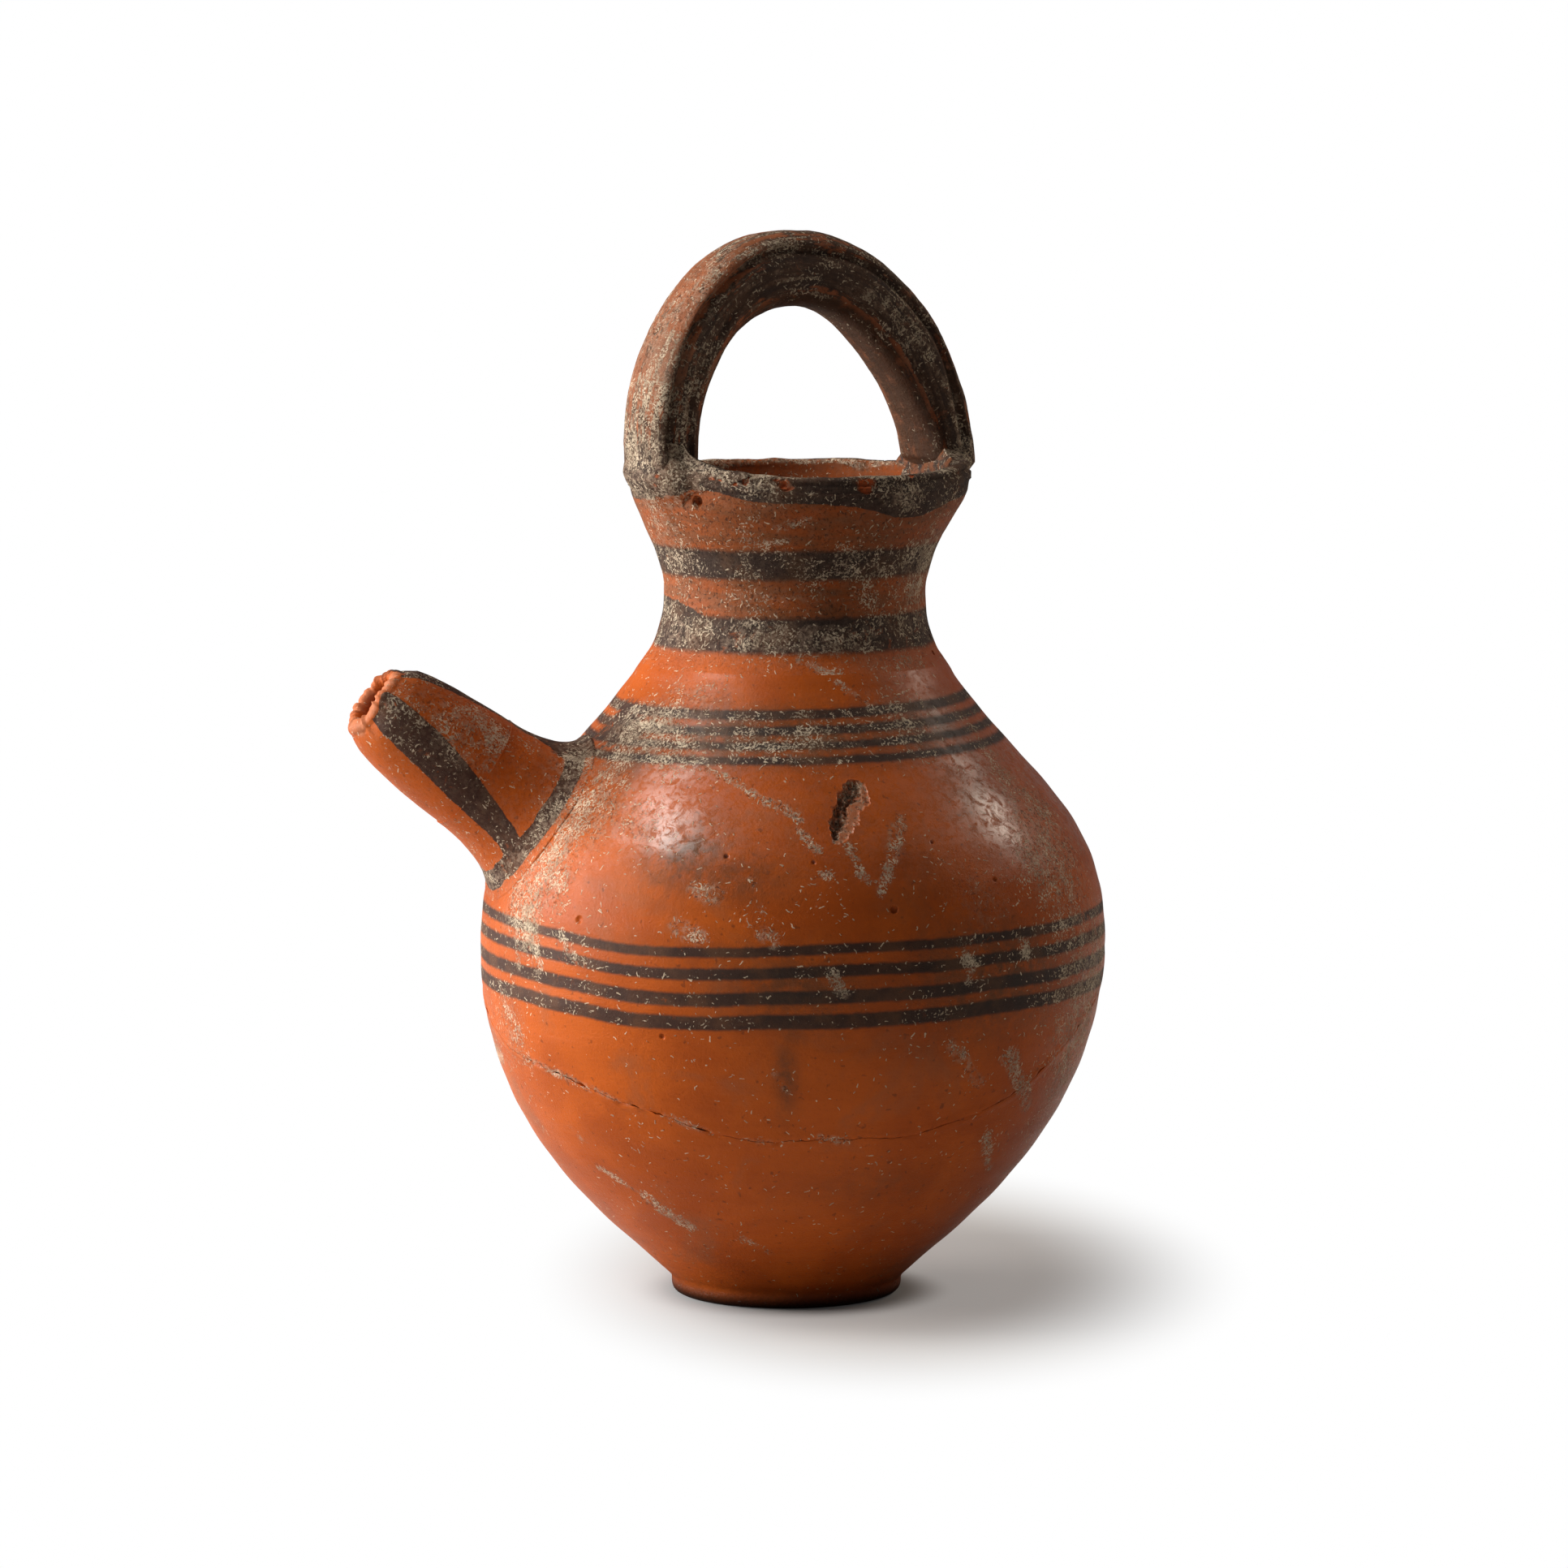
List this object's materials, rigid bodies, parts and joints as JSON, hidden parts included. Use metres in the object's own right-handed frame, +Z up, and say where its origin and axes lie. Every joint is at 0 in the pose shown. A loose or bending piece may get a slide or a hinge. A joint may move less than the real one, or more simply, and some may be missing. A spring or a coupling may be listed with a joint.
{
  "type": "spouted jug",
  "caption": "Wheel-thrown terracotta jug with a round belly, flat foot, slanting side spout, flared neck and a tall basket handle astride the rim, painted with dark bands.",
  "frame": {"origin": "centre of the flat foot, on the surface that the jug stands on", "axes": "+Z up along the axis of the wheel, -X towards the spout; the plane of the handle is turned 18 degrees from X about Z, its spout-side foot towards -Y"},
  "size_m": [0.158, 0.1296, 0.2203],
  "materials": {
    "burnished_slip": "satin",
    "matt_slip": "matte",
    "dark_paint": "matte"
  },
  "bodies": {
    "root": {"lower_body_sherd": "burnished_slip", "upper_body_sherd": "burnished_slip", "neck_and_rim": "matt_slip", "basket_handle": "dark_paint", "handle_luting_spout_side": "dark_paint", "handle_luting_far_side": "dark_paint", "spout": "matt_slip", "spout_luting_fillet": "dark_paint"}
  },
  "joints": []
}
